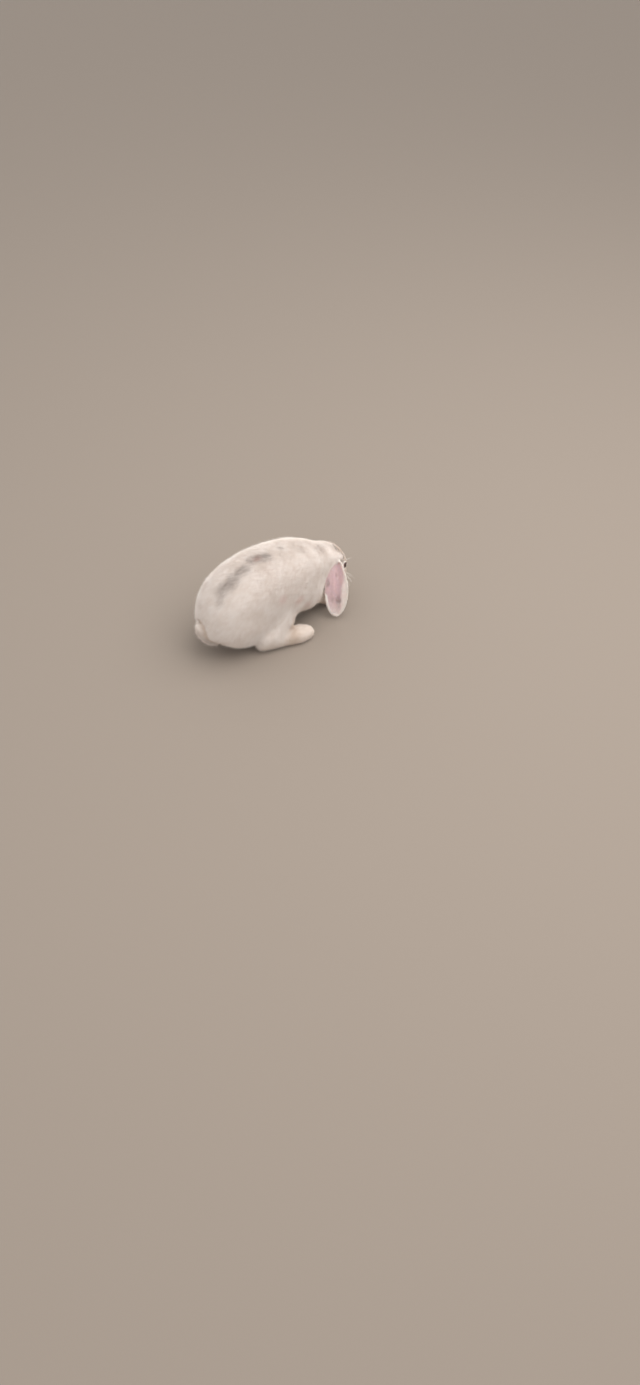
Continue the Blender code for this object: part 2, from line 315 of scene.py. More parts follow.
# The outer form: every flesh node, grown just enough to close the cuts between them.
CUT_CLOSING = 0.4 * MM
EYE_RADIUS = 8.6 * MM
outer_masses = Masses()
owner_points, owner_faces, owner_of = [], [], []
for name in flesh:
    form = bmesh.new()
    form.from_mesh(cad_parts[name].data)
    bmesh.ops.remove_doubles(form, verts=form.verts, dist=1e-6)
    form.normal_update()
    faces = [[v.index for v in face.verts] for face in form.faces]
    outer_masses.add([v.co + v.normal * CUT_CLOSING for v in form.verts], faces)
    start = len(owner_points)
    owner_points += [v.co.copy() for v in form.verts]
    owner_faces += [[start + corner for corner in face] for face in faces]
    owner_of += [flesh.index(name)] * len(faces)
    form.free()
eye_centre = {side: in_head(0.5, 2.4 * way, 0.1) for side, way in SIDES.items()}
for side, way in SIDES.items():
    outer_masses.add_ball(eye_centre[side], (EYE_RADIUS + CUT_CLOSING,) * 3)
    # The ears' roots leave slots in the head and neck, which flesh fills.
    outer_masses.add_ball(in_head(-1.7, 2.2 * way, 0.75), (0.015, 0.0115, 0.0135), head_turn)
    outer_masses.add_ball(in_head(0.3, 2.1 * way, -1.4), (0.026, 0.0175, 0.020), head_turn)
    # The hock is wrapped in the thigh, so only the front half of the foot stands clear.
    outer_masses.add_ball(place(10.4, 5.45 * way, 3.0), (0.0165, 0.034, 0.0185))
# The neck joins the head in one full mass.
outer_masses.add_ball(place(25.0, 0.2, 9.4), (0.035, 0.037, 0.037))

shell, shell_faces, shell_pairs = melt(outer_masses, COARSE_CELL)
owners = BVHTree.FromPolygons(owner_points, owner_faces)
shell_owner = np.array([owner_of[owners.find_nearest(Vector(p))[2]] for p in shell])
shell = settle(shell, shell_pairs, 12)
# The broad forms of the body are evened out, and what the ears' slots left is closed.
broad_parts = [flesh.index(name) for name in flesh if part_of(name) in ("trunk", "neck", "thigh")]
broad = relax(np.isin(shell_owner, broad_parts).astype(float), shell_pairs, 10)
shell = relax(shell, shell_pairs, 25, 0.5 * broad)
slot = np.zeros(len(shell))
for way, low in ((1, 8.6), (-1, 8.4)):
    for share in (0.35, 0.7, 1.0):
        spot = place(26.6, 2.0 * way, 10.2).lerp(place(25.2, 4.6 * way, low), share)
        away = np.linalg.norm(shell - np.array(spot), axis=1)
        slot = np.maximum(slot, 1 - ramp(away, 14 * MM, 26 * MM))
shell = relax(shell, shell_pairs, 90, 0.5 * slot)
depth = np.array([COAT_DEPTH[part_of(name)] for name in flesh])[shell_owner]
face_share = ramp(in_head_cm(shell)[:, 0], -1.5, 4.0)
face_depth = COAT_DEPTH["head"] - NOSE_THINNING * face_share
depth = relax(np.where(shell_owner == flesh.index("head"), face_depth, depth) * MM, shell_pairs, 14)

STEPS_IN = 4
body = shell.copy()
for _ in range(STEPS_IN):
    body -= normals_of(body, shell_faces) * depth[:, None] / STEPS_IN
    body = relax(body, shell_pairs, 2)

# An ear is a leaf of gristle and skin along a bent line from its root through a bend to its
# tip. It is rolled at the root, and opens towards the tip.
EAR_LINE = {
    "left": (place(27.0, 1.7, 9.5), place(26.3, 5.65, 8.05), place(25.4, 7.4, 0.9)),
    "right": (place(27.5, -1.9, 10.0), place(25.75, -5.55, 8.15), place(24.1, -6.8, 0.7)),
}
EAR_FACING = {"left": (0.85, 0.35, 0.40), "right": (-0.64, 0.62, 0.45)}
EAR_HALF_WIDTH = 2.15 * CM
EAR_WIDEST, EAR_STALK = 0.6, 0.46  # share of the way to the tip, and the root's share of the width
ROOT_CURL, TIP_CURL = 1.5, 0.35  # radians from the middle to an edge
EAR_SHOULDER = {"left": 0.0, "right": 1.0}  # how far the rear edge stands out below the root
EAR_SKIN = 1.25 * MM  # half the leaf's thickness
EAR_ROWS, EAR_COLUMNS = 72, 40
EAR_ACROSS = EAR_COLUMNS + 1
EAR_POINTS = (EAR_ROWS + 1) * EAR_ACROSS
PLEATS = ((0.35, 0.16, 0.9), (-0.4, 0.14, 0.7))  # place across, width, and height in millimetres


def ear_leaf(side):
    """The middle of an ear's leaf: points, directions to the hollow side, to the tip, across."""
    root, bend, tip = EAR_LINE[side]
    spots, hollows, alongs, acrosses = [], [], [], []
    for row in range(EAR_ROWS + 1):
        # The rows crowd towards the tip, and stop just before the outline closes.
        share = 0.985 * (1 - (1 - row / EAR_ROWS) ** 1.4)
        before, after = root.lerp(bend, share), bend.lerp(tip, share)
        middle, along = before.lerp(after, share), (after - before).normalized()
        facing = Vector(EAR_FACING[side])
        facing = (facing - along * facing.dot(along)).normalized()
        across = along.cross(facing)
        curl = TIP_CURL + (ROOT_CURL - TIP_CURL) * (1 - share) ** 2
        if share < EAR_WIDEST:
            part = share / EAR_WIDEST
            outline = EAR_STALK + (1 - EAR_STALK) * part * part * (3 - 2 * part)
        else:
            outline = math.sqrt(1 - ((share - EAR_WIDEST) / (1 - EAR_WIDEST)) ** 2)
        below_root = ramp(share, 0.1, 0.5)
        reach = (EAR_HALF_WIDTH * outline - 0.3 * MM * below_root) / math.sin(min(curl, math.pi / 2))
        shoulder = EAR_SHOULDER[side] * ramp(share, 0.02, 0.12) * (1 - ramp(share, 0.15, 0.4))
        for column in range(EAR_ACROSS):
            width = 2 * column / EAR_COLUMNS - 1
            angle = curl * width
            # The rear half is the broader one, and the front edge is gathered in at the root.
            front = width * SIDES[side]
            spread = reach * (1 + max(0.0, -front) * (0.10 * below_root + 0.25 * shoulder))
            spread *= 1 - (0.2 + 0.55 * max(0.0, front)) * (1 - ramp(share, 0.0, 0.14))
            spot = middle + (across * math.sin(angle) + facing * (1 - math.cos(angle))) * spread
            spot += facing * (3.0 * MM * shoulder * max(0.0, 0.3 - front))
            hollow = facing * math.cos(angle) - across * math.sin(angle)
            # Two long soft pleats run down the hollow side.
            pleat = sum(high * math.exp(-(((width - at) / wide) ** 2)) for at, wide, high in PLEATS)
            spot += hollow * (pleat * MM * math.sin(math.pi * min(share * 1.25, 1.0)))
            spots.append(spot)
            hollows.append(hollow)
            alongs.append(along)
            acrosses.append(across * math.cos(angle) + facing * math.sin(angle))
    return [np.array([tuple(v) for v in group]) for group in (spots, hollows, alongs, acrosses)]


skin_masses = Masses()
skin_masses.add(body, shell_faces)
# Both faces of a leaf, closed by a strip round its rim.
grid = np.arange(EAR_POINTS).reshape(-1, EAR_ACROSS)
face = np.stack([grid[:-1, :-1], grid[:-1, 1:], grid[1:, 1:], grid[1:, :-1]], -1).reshape(-1, 4)
ear_faces = np.stack([face, EAR_POINTS + face[:, ::-1]], 1).reshape(-1, 4).tolist()
rim = np.concatenate([grid[:, 0], grid[-1, 1:], grid[-2::-1, -1], grid[0, -2:0:-1]]).tolist()
ear_faces += [(b, a, EAR_POINTS + a, EAR_POINTS + b) for a, b in zip(rim, rim[1:] + rim[:1])]
width = np.tile(np.linspace(-1, 1, EAR_ACROSS), EAR_ROWS + 1)
half = (EAR_SKIN * np.sqrt(np.maximum(1 - width**6, 0.6)))[:, None]
ear_middle = {side: ear_leaf(side) for side in SIDES}
for spots, hollows, _, _ in ear_middle.values():
    skin_masses.add(np.concatenate([spots + hollows * half, spots - hollows * half]), ear_faces)

# The lids: a soft rim round the almond opening of each eye, on a wider mound.
LID_LENGTH, LID_HEIGHT = 7.3 * MM, 5.9 * MM  # from the middle of the opening
LID_REACH = EYE_RADIUS + 0.5 * MM
LID_ROUND, MOUND_ROUND = 1.35 * MM, 2.3 * MM
LID_STEPS = 40
eye_axes, lid_line = {}, {}
for side, way in SIDES.items():
    out = (head_turn @ Vector((0.22, 0.95 * way, 0.20))).normalized()
    ahead = head_turn @ Vector((1.0, 0.0, -0.12))
    ahead = (ahead - out * ahead.dot(out)).normalized()
    above = out.cross(ahead) * way
    if above.dot(crown_way) < 0:
        above = -above
    eye_axes[side] = (out, ahead, above)
    rim, mound = [], []
    for step in range(LID_STEPS):
        angle = step * math.tau / LID_STEPS
        x = LID_LENGTH * math.cos(angle)
        y = LID_HEIGHT * math.sin(angle) * (1.0 + 0.10 * math.cos(angle))
        z = math.sqrt(LID_REACH**2 - x * x - y * y)
        rim.append(eye_centre[side] + ahead * x + above * y + out * z)
        mound.append(eye_centre[side] + (ahead * x + above * y) * 1.26 + out * (z - 3.4 * MM))
    lid_line[side] = rim
    skin_masses.add_tube(rim, [LID_ROUND] * LID_STEPS, closed=True)
    skin_masses.add_tube(mound, [MOUND_ROUND] * LID_STEPS, closed=True)

skin_points, skin_faces, skin_pairs = melt(skin_masses, FINE_CELL)
skin_points = relax(settle(skin_points, skin_pairs, 4), skin_pairs, 2)

# The muzzle and the eyes' surrounds need finer faces than the rest.
form = bmesh.new()
skin_mesh = bpy.data.meshes.new("skin")
skin_mesh.from_pydata(skin_points, [], skin_faces)
form.from_mesh(skin_mesh)
fine_places = [(in_head(4.6, 0, -0.8), 24 * MM)] + [(spot, 13 * MM) for spot in eye_centre.values()]
fine = [
    edge
    for edge in form.edges
    if any((edge.verts[0].co - spot).length < reach for spot, reach in fine_places)
]
bmesh.ops.subdivide_edges(form, edges=fine, cuts=1, use_grid_fill=True, smooth=0.6)
bmesh.ops.triangulate(form, faces=form.faces)
form.to_mesh(skin_mesh)
form.free()

skin, skin_faces, skin_pairs = arrays_of(skin_mesh, 3)
skin = relax(skin, skin_pairs, 2)
skin_tree = BVHTree.FromPolygons(skin.tolist(), skin_faces.tolist())


def seen_from(origin, way, reach=0.2):
    """Where a straight look at the skin lands."""
    return skin_tree.ray_cast(origin, way.normalized(), reach)[0]


def smooth_line(marks, steps=10):
    """Points spread evenly along straight runs between marks."""
    line = []
    for start, end in zip(marks, marks[1:]):
        line += [start.lerp(end, step / steps) for step in range(steps)]
    return line + [marks[-1]]


def distance_to(line, points, reach):
    """How far each point is from a line of points, or reach where it is farther."""
    line = np.array([tuple(p) for p in line])
    middle = line.mean(0)
    span = np.linalg.norm(line - middle, axis=1).max() + reach
    near = np.flatnonzero(np.linalg.norm(points - middle, axis=1) < span)
    away = np.full(len(points), reach)
    if len(near):
        gaps = np.linalg.norm(points[near][:, None] - line[None], axis=2).min(1)
        away[near] = np.minimum(gaps, reach)
    return away


def press(points, line, depth, width):
    """The skin pushed in along a line, or out where depth is below zero."""
    away = distance_to(line, points, 3 * width)
    return points - normals_of(points, skin_faces) * (depth * np.exp(-((away / width) ** 2)))[:, None]


# Places on the front of the face, in centimetres to the left and up.
NOSTRIL = ((0.10, -0.52), (0.26, -0.40), (0.42, -0.22), (0.52, -0.02))
PHILTRUM = ((0.0, -0.50), (0.0, -1.0), (0.0, -1.52))
MOUTH = ((0.0, -1.52), (0.3, -1.66), (0.62, -1.74), (0.95, -1.76), (1.2, -1.68))


def face_spot(left, up):
    """A place on the face, found by a look at the skin from in front of the nose."""
    return seen_from(in_head(9.0, left, up), -nose_way)


def on_face(marks, way=1):
    """A line on the face through marks, on the left side or, where way is -1, on the right."""
    return smooth_line([face_spot(left * way, up) for left, up in marks])


nostrils = {side: on_face(NOSTRIL, way) for side, way in SIDES.items()}
mouth = {side: on_face(MOUTH, way) for side, way in SIDES.items()}
philtrum = on_face(PHILTRUM)
# The whisker pads, the wings of the nose and the chin swell, and the openings are sunk.
for side, way in SIDES.items():
    skin = press(skin, [face_spot(0.75 * way, -1.0)], -1.1 * MM, 6.5 * MM)
    skin = press(skin, [face_spot(0.42 * way, 0.12)], -0.6 * MM, 2.4 * MM)
skin = press(skin, [face_spot(0.0, -2.1)], -0.7 * MM, 4.0 * MM)
skin = press(skin, philtrum, 1.2 * MM, 0.9 * MM)
for side in SIDES:
    skin = press(skin, nostrils[side], 2.0 * MM, 0.75 * MM)
    skin = press(skin, mouth[side], 1.6 * MM, 0.8 * MM)

# Three furrows part the toes of each foot. Each starts from marks forward and to the left of
# the tail's root in centimetres, seen from above, and runs down over the toes' ends.
TOES = (
    # marks, space between furrows, look from, look's reach, run over the end, depth
    (((15.6, 6.95), (16.6, 7.2), (17.4, 7.35)), 0.52, 5.0, 0.2, (0, -2.0, -5.0), 2.4),
    (((26.8, 2.5), (27.6, 2.5), (28.1, 2.5)), 0.42, 3.0, 0.03, (0, -1.5, -4.0), 1.9),
)
FURROW_WIDTH = 0.7 * MM
down = Vector((0, 0, -1))
furrows = []
for way in SIDES.values():
    for marks, space, above, reach, over, depth in TOES:
        for offset in (-space, 0.0, space):
            spots = [place(forward, (left + offset) * way, above) for forward, left in marks]
            line = smooth_line([seen_from(spot, down, reach) or spot for spot in spots])
            line.append(line[-1] + Vector(over) * MM)
            furrows.append(line)
            skin = press(skin, line, depth * MM, FURROW_WIDTH)
skin_up = normals_of(skin, skin_faces)

# What each point of the skin belongs to, and how far the coat's tips are from it.
shell_tree = BVHTree.FromPolygons(shell.tolist(), shell_faces.tolist())
nearest = [shell_tree.find_nearest(Vector(p)) for p in skin]
skin_part = shell_owner[shell_faces[[found[2] for found in nearest], 0]]
coat_depth = np.array([found[3] for found in nearest])
# The two ears' points, one after the other: places, and ways to the hollow, the tip and across.
ear_spots, ear_hollows, ear_alongs, ear_acrosses = (
    np.concatenate(pair) for pair in zip(*ear_middle.values())
)


def tree_of(points):
    """The points in a tree that finds the nearest of them to a place."""
    search = KDTree(len(points))
    for index, spot in enumerate(points):
        search.insert(Vector(spot), index)
    search.balance()
    return search


ear_tree = tree_of(ear_spots)
found = [ear_tree.find(Vector(p)) for p in skin]
ear_index = np.array([f[1] for f in found])
ear_row, ear_column = np.divmod(ear_index % EAR_POINTS, EAR_ACROSS)
ear_share = ear_row / EAR_ROWS
ear_side = 2 * ear_column / EAR_COLUMNS - 1
left_ear = ear_index < EAR_POINTS
ear_front = ear_side * np.where(left_ear, 1, -1)  # 1 at the front edge
is_ear = (np.array([f[2] for f in found]) < 2.6 * MM) & (ear_share > 0.04)
is_hollow = is_ear & (((skin - ear_spots[ear_index]) * ear_hollows[ear_index]).sum(1) > 0)
skin_part = np.where(is_ear, len(flesh) + ear_index // EAR_POINTS, skin_part)
part_names = flesh + ears


def parts_mask(*kinds):
    """True for the points of the skin that belong to parts of these kinds."""
    return np.isin(skin_part, [part_names.index(n) for n in part_names if part_of(n) in kinds])


# The lie of the coat: from nose to tail and down the flanks, down the legs and along the
# feet to the toes, up the tail, and from root to tip on the ears.
way_of = {
    "trunk": (0, 1.0, -0.55),
    "neck": (0, 1.0, -0.45),
    "thigh": (0, 1.0, -0.75),
    "tail": tuple(place(-1.1, 0.5, 6.8) - place(1.0, -1.2, 3.3)),
    "head": tuple(-nose_way - 0.15 * crown_way),
    "foreleg": (0, -0.6, -1.0),
    "forepaw": (0, -1.0, -0.15),
    "hind_foot": (0, -1.0, -0.1),
    "ear": (0, 0, -1.0),
}
lie = unit(np.array([way_of[part_of(name)] for name in part_names], float))[skin_part]
lie[is_ear] = ear_alongs[ear_index[is_ear]]
edge_share = ramp(np.abs(ear_side), 0.75, 1.0)[:, None] * np.sign(ear_side)[:, None]
lie[is_ear] += (0.9 * edge_share * ear_acrosses[ear_index])[is_ear]
# The long fur of the thigh hangs over the rear half of the foot, which wears long fur too.
height = skin[:, 2]
along_foot = TAIL_ROOT - skin[:, 1]
skirt = parts_mask("thigh", "trunk") * (1 - ramp(height, 0.034, 0.052))
skirt *= ramp(np.abs(skin[:, 0]), 0.03, 0.045)
skirt *= 1 - ramp(along_foot, 0.125, 0.145)
heel = parts_mask("hind_foot") * (1 - ramp(along_foot, 0.118, 0.138)) * ramp(height, 0.006, 0.012)
hanging = np.maximum(skirt, heel)[:, None]
lie += hanging * (np.array([0, 0.25, -1.0]) - lie)
# The back of the head follows the neck, and the cheeks' fur turns down.
along_face, _, up_face = in_head_cm(skin).T
behind_head = parts_mask("head") * (1 - ramp(along_face, -2.4, 0.2))
lie += behind_head[:, None] * (np.array(way_of["neck"]) - lie)
lie[parts_mask("head") & (up_face < 0.3)] -= 0.35 * np.array(crown_way)
for _ in range(5):
    lie = relax(lie, skin_pairs, 8)
    lie = unit(lie - skin_up * (lie * skin_up).sum(1, keepdims=True))

# The length of a tuft and its width in millimetres, and the tufts to the square centimetre.
# A tuft stands for a lock of hairs.
COAT = {
    "trunk": (12.5, 0.60, 265),
    "neck": (11.0, 0.56, 290),
    "thigh": (12.5, 0.60, 265),
    "tail": (11.0, 0.60, 330),
    "head": (6.0, 0.60, 280),
    "foreleg": (9.0, 0.60, 210),
    "forepaw": (5.5, 0.50, 330),
    "hind_foot": (7.0, 0.55, 310),
    "ear": (5.0, 0.42, 230),
}
coat_table = np.array([COAT[part_of(name)] for name in part_names])[skin_part]
coat_length, coat_width, coat_number = coat_table[:, 0] * MM, coat_table[:, 1] * MM, coat_table[:, 2] * 1e4
coat_rise = np.where(is_ear, 1.1 * MM, coat_depth * 0.97)  # of a tuft's tip over the skin
# Under the belly the tufts are fewer and wider, and over the rump they stand out.
on_trunk, on_head = parts_mask("trunk"), parts_mask("head")
hidden_belly = on_trunk * ramp(-skin_up[:, 2], 0.25, 0.6)
coat_number, coat_width = coat_number * (1 - 0.6 * hidden_belly), coat_width * (1 + 0.5 * hidden_belly)
rump_top = on_trunk * ramp(skin[:, 1], -0.04, 0.03) * ramp(height, 0.09, 0.13)
coat_rise = coat_rise + 3.0 * MM * rump_top
# On the head they grow shorter and finer towards the nose, and a fringe edges the ears.
to_nose = ramp(along_face, -1.5, 4.5)
coat_length = np.where(on_head, (10.0 - 6.2 * to_nose) * MM, coat_length)
coat_width = np.where(on_head, (0.56 - 0.16 * to_nose) * MM, coat_width)
ear_fringe = is_ear & (np.abs(ear_side) > 0.86)
coat_length = np.where(ear_fringe | (is_ear & (ear_share > 0.93)), 5.5 * MM, coat_length)
coat_number = np.where(ear_fringe, coat_number * 1.6, coat_number)
coat_length = coat_length + (skirt * 9.0 + heel * 5.0) * MM
# The tail is full, and lies in a fold of short flat fur.
TAIL_LINE = (place(1.0, -1.2, 3.3), place(0.0, -0.5, 4.3), place(-0.9, 0.2, 5.9), place(-1.1, 0.5, 6.8))
tail_gap = distance_to(smooth_line(TAIL_LINE), skin, 30 * MM)
foot_sides = parts_mask("hind_foot") * (1 - ramp(-skin_up[:, 1], 0.2, 0.6))
coat_rise = coat_rise + 2.5 * MM * parts_mask("tail") + 1.2 * MM * foot_sides
fold_rise = 0.25 + 0.75 * ramp(tail_gap, 16 * MM, 26 * MM)
fold_length = 0.4 + 0.6 * ramp(tail_gap, 16 * MM, 28 * MM)
coat_rise = np.where(on_trunk, coat_rise * fold_rise, coat_rise)
coat_length = np.where(on_trunk, coat_length * fold_length, coat_length)
coat_rise = coat_rise + (skirt * 2.5 + heel * 1.5) * MM
coat_rise, coat_length = (relax(v, skin_pairs, 30) for v in (coat_rise, coat_length))
# It is flat in the toes' furrows, and flat and close in the bend of the nape.
toe_gap = np.minimum.reduce([distance_to(line, skin, 5 * MM) for line in furrows])
in_furrow = 0.6 + 0.4 * ramp(toe_gap, 0.4 * MM, 2.6 * MM)
coat_rise, coat_length = coat_rise * in_furrow, coat_length * in_furrow
nape_gap = np.linalg.norm(skin - np.array(place(24.5, 0.0, 13.0)), axis=1)
nape = 1 - ramp(nape_gap, 25 * MM, 50 * MM)
coat_rise, coat_number = coat_rise * (1 - 0.4 * nape), coat_number * (1 + 0.5 * nape)
coat_rise, coat_length, coat_width = (relax(v, skin_pairs, 10) for v in (coat_rise, coat_length, coat_width))

# Bare places: the hollow of each ear but for its edges, the lids' edges, nostrils and lips.
behind = ear_front > -1.1 + 0.28 * ramp(ear_share, 0.48, 0.6)
# The fur starts nearer the middle, from the front edge, where this is lower.
furred = 0.6 - 0.35 * ramp(ear_share, 0.25, 0.5) + 0.2 * ramp(ear_share, 0.6, 0.85)
hollow_bare = is_hollow * (behind & (ear_share < 0.92)) * (1 - 0.8 * ramp(ear_front - furred, 0.0, 0.35))
hollow_bare *= 1 - 0.35 * ramp(ear_share, 0.6, 0.85)
hollow_bare *= np.where(left_ear, ramp(ear_share, 0.08, 0.22), ramp(ear_share, 0.0, 0.08))
hollow_bare = relax(hollow_bare * (ear_front < 0.86), skin_pairs, 3)
lid_gap, nose_gap, lip_gap = (
    np.minimum.reduce([distance_to(line, skin, 6 * MM) for line in lines])
    for lines in (lid_line.values(), nostrils.values(), [*mouth.values(), philtrum])
)
coat_number *= 1 - 0.9 * hollow_bare
coat_width *= 1 - 0.45 * hollow_bare
for gap, bare_to, full_from in ((lid_gap, 1.2, 2.0), (nose_gap, 0.7, 1.5), (lip_gap, 0.4, 1.0)):
    coat_number *= ramp(gap, bare_to * MM, full_from * MM)
face_gap = np.minimum(lid_gap, np.minimum(nose_gap, lip_gap))
coat_length *= 0.45 + 0.55 * ramp(face_gap, 1.0 * MM, 5.5 * MM)


# Markings, shared by the skin and the coat: a few soft grey marks along the spine, faint
# rosy patches low on the right flank, and grey mottles in the hollows of the ears.
def drift(points, size, seed):
    """Smooth noise from about -1 to 1, with patches about this size."""
    shift = Vector((seed * 7.3, seed * 3.1, seed * 5.7))
    return np.array([noise.noise(Vector(p) / size + shift) for p in points]) * 1.6


def patch(points, centre, radii):
    """1 in the middle of a soft oval patch, and 0 outside it."""
    reach = np.linalg.norm((points - np.array(centre) * MM) / (np.array(radii) * MM), axis=1)
    return 1 - ramp(reach, 0.35, 1.15)


# A hair shows most near its tip, so each root takes the colour of the place its tip covers.
shown = skin + lie * (coat_length * 0.7)[:, None] + skin_up * coat_rise[:, None]
rough = drift(shown, 5 * MM, 1)
streaks = drift(shown * np.array([1.0, 0.22, 1.0]), 2.2 * MM, 2)
mark = np.zeros(len(skin))
# Lines through the marks in millimetres, with the reach and the strength of each mark.
for spots, reach, strength in (
    (((-11, 115, 143), (-12, 103, 150), (-11, 92, 155)), 15, 0.54),
    (((-11, 92, 155), (-9, 78, 160), (-7, 66, 164)), 13, 0.52),
    (((0, 43, 169), (-4, 33, 170), (-8, 21, 170)), 13, 0.50),
    (((-5, 21, 170), (-9, 17, 169)), 7.5, 0.66),
    (((-20, 129, 129), (-16, 125, 133)), 11, 0.30),
    (((-2, -17, 169), (-2, -15, 169)), 5, 0.42),
):
    line = smooth_line([Vector(spot) * MM for spot in spots])
    away = distance_to(line, shown, 1.5 * reach * MM) / (reach * MM)
    mark = np.maximum(mark, strength * (1 - ramp(away, 0.15, 1.35)))
mark = np.clip(mark * (1 + 0.3 * rough + 0.5 * streaks), 0, 1)
rosy = 0.9 * patch(shown, (-4, 35, 170), (8, 11, 8))
FLANK_ROSES = (((-60, -17, 83), (12, 14, 12)), ((-56, -38, 58), (12, 12, 10)), ((-63, 23, 109), (12, 12, 12)))
for centre, radii in FLANK_ROSES:
    rosy = np.maximum(rosy, 0.4 * patch(shown, centre, radii))
# Fawn: the feet's own fawn tone, and painted shade in fawn, most where the feet leave the fur
# of the thigh, in the fold beside the tail, and low on the body, legs and heels.
# Painted shade where the hind foot comes out from under the thigh's hanging fur.
fold = ramp(along_foot, 0.115, 0.128) * (1 - ramp(along_foot, 0.132, 0.15)) * parts_mask("hind_foot")
tan = 0.3 * parts_mask("hind_foot", "forepaw") + 0.4 * fold
for parts, distance, full_to, none_from, strength in (
    # painted shade in the fold beside the tail
    (("trunk", "thigh"), tail_gap, 0.014, 0.023, 0.65),
    # painted shade low on the body and forelegs, and on the thighs and heels, darker nearer the floor
    (("trunk", "neck", "foreleg"), height, 0.025, 0.07, 0.75),
    (("thigh", "hind_foot"), height, 0.008, 0.032, 0.45),
):
    tan = np.maximum(tan, strength * parts_mask(*parts) * (1 - ramp(distance, full_to, none_from)))
tan = relax(tan, skin_pairs, 10)
# Painted shade in the toes' furrows.
tan = np.maximum(tan, 0.2 * (1 - ramp(toe_gap, 0.2 * MM, 2.0 * MM)))
shade = 0.5 + 0.3 * drift(skin, 22 * MM, 3) + 0.2 * rough
bare = np.maximum(hollow_bare, 1 - ramp(face_gap, 0.8 * MM, 2.0 * MM))
rim = np.maximum(1 - ramp(lid_gap, 0.9 * MM, 2.0 * MM), 0.8 * (1 - ramp(nose_gap, 0.3 * MM, 1.0 * MM)))
mottle = np.zeros(len(skin))
# Each mottle's share of the way to the tip, place across, reach and strength.
for share, front, reach, strength in (
    (0.65, 0.35, 0.045, 1.0),
    (0.65, 0.15, 0.11, 0.55),
    (0.49, 0.56, 0.05, 0.85),
    (0.385, -0.77, 0.07, 0.7),
    (0.27, -0.08, 0.04, 0.6),
    (0.76, 0.25, 0.06, 0.4),
    (0.66, -0.4, 0.06, 0.3),
):
    away = np.hypot((ear_share - share) / reach, (ear_front - front) / (reach * 3.0))
    mottle = np.maximum(mottle, strength * (1 - ramp(away, 0.3, 1.2)))
mottle = np.where(is_hollow, np.clip(mottle * (1 + 0.5 * rough) + 0.10 * ramp(rough, 0.2, 0.9), 0, 1), 0)
mottle = relax(mottle, skin_pairs, 3)


def add_piece(name, mesh, finish):
    """A visible piece of one finish, fixed on the body."""
    mesh.materials.append(finish)
    piece = bpy.data.objects.new(name, mesh)
    scene.collection.objects.link(piece)
    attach(piece, "root")
    return piece


def add_values(mesh, **values):
    """Number attributes, one value to a point."""
    for name, numbers in values.items():
        mesh.attributes.new(name, "FLOAT", "POINT").data.foreach_set("value", np.asarray(numbers, np.float32))


# The hide laid out flat: each part in up to six pieces by the way that it faces, side by side.
SHEET_WIDTH, SHEET_GAP, SHEET_EDGE = 0.62, 0.006, 0.004
face_up = relax(skin_up, skin_pairs, 12)[skin_faces].mean(1)
main_axis = np.abs(face_up).argmax(1)
flat_kind = np.where(parts_mask("trunk", "neck", "thigh"), 0, 1 + skin_part)[skin_faces[:, 0]] * 6
flat_kind += main_axis * 2 + (face_up[np.arange(len(face_up)), main_axis] > 0)
skin_flat = np.zeros((len(skin_faces), 3, 2))
charts = []
for kind in np.unique(flat_kind):
    chosen = np.flatnonzero(flat_kind == kind)
    axes = [axis for axis in range(3) if axis != kind % 6 // 2]
    corners = skin[skin_faces[chosen]][:, :, axes]
    low = corners.reshape(-1, 2).min(0)
    corners = corners - low
    size = corners.reshape(-1, 2).max(0)
    if size[1] > size[0]:
        corners, size = corners[:, :, ::-1], size[::-1]
    charts.append((size[1], size[0], chosen, corners))
charts.sort(key=lambda chart: -chart[0])
at_x = at_y = row_height = 0.0
for high, wide, chosen, corners in charts:
    if at_x + wide > SHEET_WIDTH:
        at_x, at_y, row_height = 0.0, at_y + row_height + SHEET_GAP, 0.0
    skin_flat[chosen] = corners + (at_x, at_y)
    at_x, row_height = at_x + wide + SHEET_GAP, max(row_height, high)
skin_flat = SHEET_EDGE + skin_flat * (1 - 2 * SHEET_EDGE) / max(SHEET_WIDTH, at_y + row_height)

# Rabbit hide: pale rosy skin under close down, with a fine leathery grain. Where it is bare
# it is pink and a little moist, and light glows through the ears.
rabbit_hide, tree = new_finish("rabbit_hide")


def layered(tree, colour, *layers):
    """A colour with others laid over it, each by its share: a value, or one kept at the points."""
    for share, over in layers:
        if isinstance(share, str):
            share = add_node(tree, "ShaderNodeAttribute", {"attribute_name": share}).outputs["Fac"]
        mix = add_node(tree, "ShaderNodeMix", {"data_type": "RGBA"}, {0: share, 6: colour, 7: over})
        colour = mix.outputs[2]
    return colour


FUR_CREAM = "#e8dcd3"
FUR_TONES = {"shade": "#faf3ee", "rosy": "#dfbdb2", "tan": "#c6ad95", "mark": "#8a7a72"}
SKIN_PINK, SKIN_LILAC, SKIN_GREY, SKIN_DARK = "#c9aba5", "#c0a5b1", "#7d6965", "#5e4540"
VEIN_SPACING = 6.25 * MM
PORE_SPACING, PORE_DEPTH = 0.5 * MM, 0.3 * MM  # real pores are too fine to show, so coarser


def fur_colour(tree):
    """Cream to white fur with its rosy, fawn and grey marks, and fawn painted shade."""
    return layered(tree, linear(FUR_CREAM), *((name, linear(code)) for name, code in FUR_TONES.items()))


